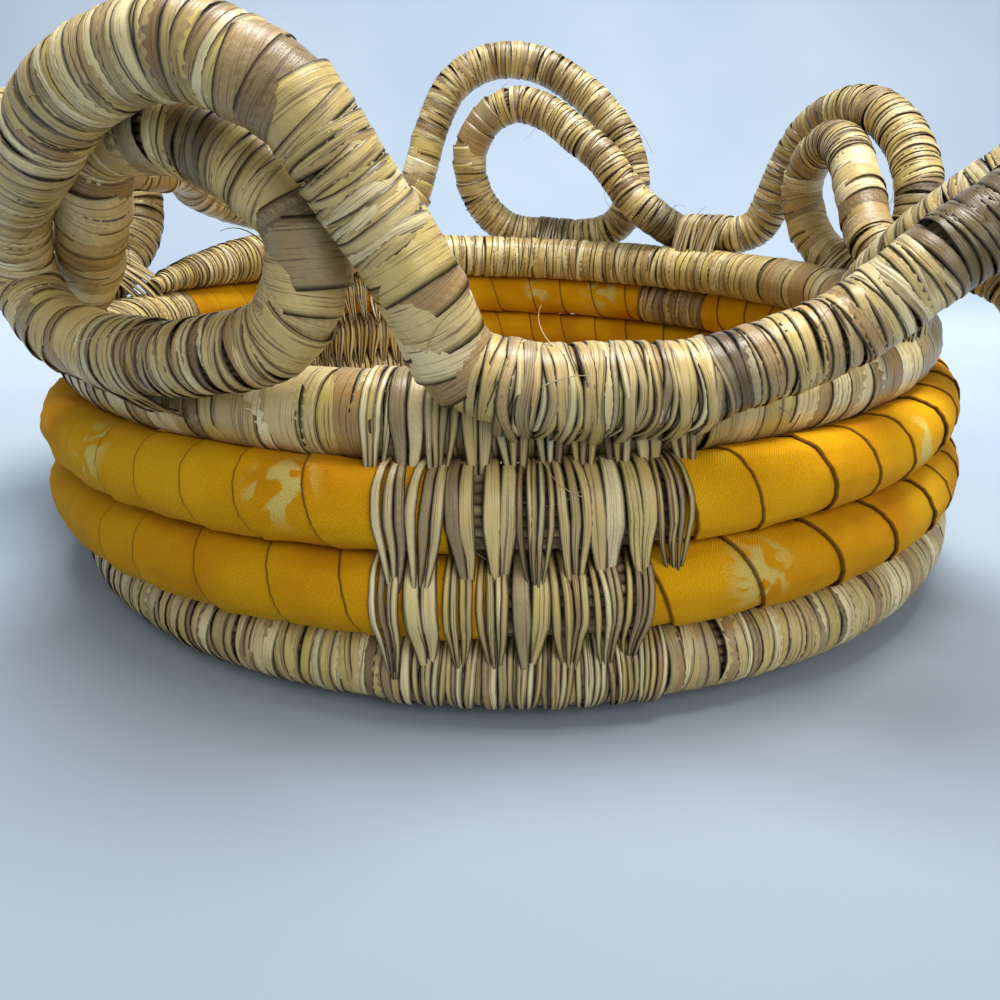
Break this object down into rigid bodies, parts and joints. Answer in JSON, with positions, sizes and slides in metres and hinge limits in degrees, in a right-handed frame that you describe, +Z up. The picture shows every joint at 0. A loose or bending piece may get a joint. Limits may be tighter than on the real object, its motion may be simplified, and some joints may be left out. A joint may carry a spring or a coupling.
{
  "type": "coiled basket with a looped border",
  "caption": "Round open basket of coiled plant bundles wrapped in pale leaf strips and yellow cloth, with a border coil standing in doubled loops round the rim.",
  "frame": {"origin": "middle of the underside, on the plane the basket stands on", "axes": "+Z up through the open top; -Y is the front, where the picture looks from; +X is the picture's right"},
  "size_m": [0.3185, 0.311, 0.173],
  "materials": {
    "leaf": "dry leaf strips, satin",
    "leaf_floor": "dry leaf strips, darker",
    "grass_bundle": "dry grass stems, matt",
    "cloth": "cotton twill, matt"
  },
  "bodies": {
    "root": {"floor_coil": "leaf_floor", "wall_coil_core": "grass_bundle", "leaf_wrap_base_row": "leaf", "cloth_wrap_lower_left": "cloth", "leaf_wrap_front_lower": "leaf", "cloth_wrap_right_and_back": "cloth", "leaf_wrap_front_upper": "leaf", "cloth_wrap_upper_right": "cloth", "leaf_wrap_back": "leaf", "cloth_wrap_upper_back": "cloth", "leaf_wrap_rim": "leaf", "border_core_front_left": "grass_bundle", "leaf_wrap_loop_front_left": "leaf", "lashing_foot_front_left": "leaf_floor", "border_core_left_back": "grass_bundle", "leaf_wrap_loop_left_back": "leaf", "lashing_foot_left_back": "leaf_floor", "border_core_back": "grass_bundle", "leaf_wrap_loop_back": "leaf", "lashing_foot_back": "leaf_floor", "border_core_back_right": "grass_bundle", "leaf_wrap_loop_back_right": "leaf", "lashing_foot_back_right": "leaf_floor", "border_core_front_right": "grass_bundle", "leaf_wrap_loop_front_right": "leaf", "lashing_foot_front_right": "leaf_floor", "lashing_valley_front": "leaf_floor", "lashing_valley_left": "leaf_floor", "lashing_valley_back_left": "leaf_floor", "lashing_valley_back_right": "leaf_floor", "lashing_valley_right": "leaf_floor"}
  },
  "joints": []
}
